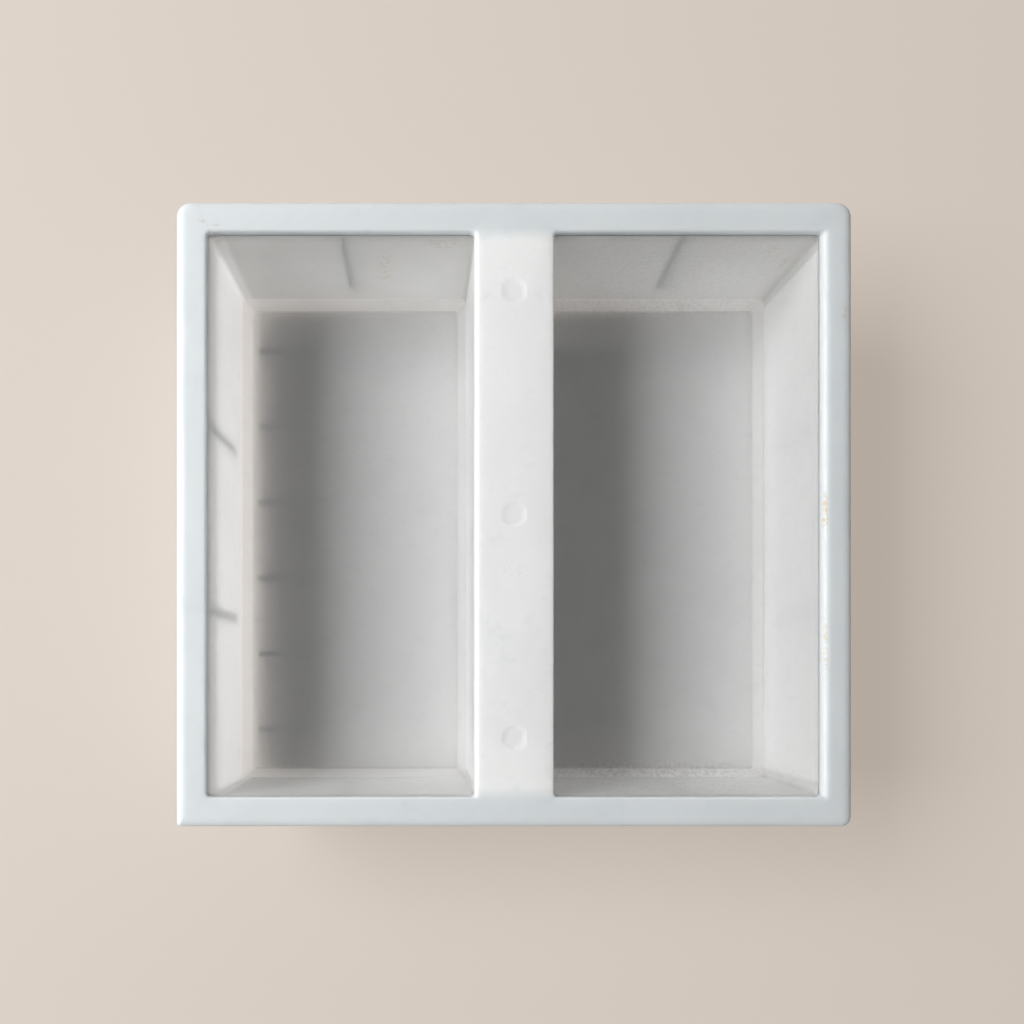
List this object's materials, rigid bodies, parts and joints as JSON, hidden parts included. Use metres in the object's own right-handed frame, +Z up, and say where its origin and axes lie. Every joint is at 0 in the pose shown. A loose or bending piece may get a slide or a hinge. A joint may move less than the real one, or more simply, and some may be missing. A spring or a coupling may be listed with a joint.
{
  "type": "concrete paving mould",
  "caption": "Open-topped white plastic mould for casting rectangular concrete paving blocks, with drafted walls, chamfered floors and a flat rim with a turned-down lip.",
  "frame": {"origin": "middle of the footprint, on the surface that the floor ribs stand on", "axes": "+Z up out of the cavities, +X to the right across both cavities, +Y along the length of the cavities towards the back"},
  "size_m": [0.239, 0.221, 0.067],
  "materials": {
    "rim_plastic": "satin white polypropylene, slightly translucent, with scuffs and faint residue",
    "cavity_plastic": "satin white polypropylene, slightly translucent, with faint concrete residue",
    "rib_plastic": "satin white polypropylene, as moulded"
  },
  "bodies": {
    "root": {"rim_plate": "rim_plastic", "rim_lip": "rim_plastic", "left_cavity_walls": "cavity_plastic", "left_cavity_floor": "cavity_plastic", "right_cavity_walls": "cavity_plastic", "right_cavity_floor": "cavity_plastic", "gusset_left_front": "rib_plastic", "gusset_left_back": "rib_plastic", "gusset_right_front": "rib_plastic", "gusset_right_back": "rib_plastic", "gusset_front_left": "rib_plastic", "gusset_front_right": "rib_plastic", "gusset_back_left": "rib_plastic", "gusset_back_right": "rib_plastic", "divider_web_front": "rib_plastic", "divider_web_middle": "rib_plastic", "divider_web_back": "rib_plastic", "left_floor_rib_1": "rib_plastic", "left_floor_rib_2": "rib_plastic", "left_floor_rib_3": "rib_plastic", "left_floor_rib_4": "rib_plastic", "left_floor_rib_5": "rib_plastic", "left_floor_rib_6": "rib_plastic", "right_floor_rib_1": "rib_plastic", "right_floor_rib_2": "rib_plastic", "right_floor_rib_3": "rib_plastic", "right_floor_rib_4": "rib_plastic", "right_floor_rib_5": "rib_plastic", "right_floor_rib_6": "rib_plastic", "left_gate_stub": "rib_plastic", "right_gate_stub": "rib_plastic"}
  },
  "joints": []
}
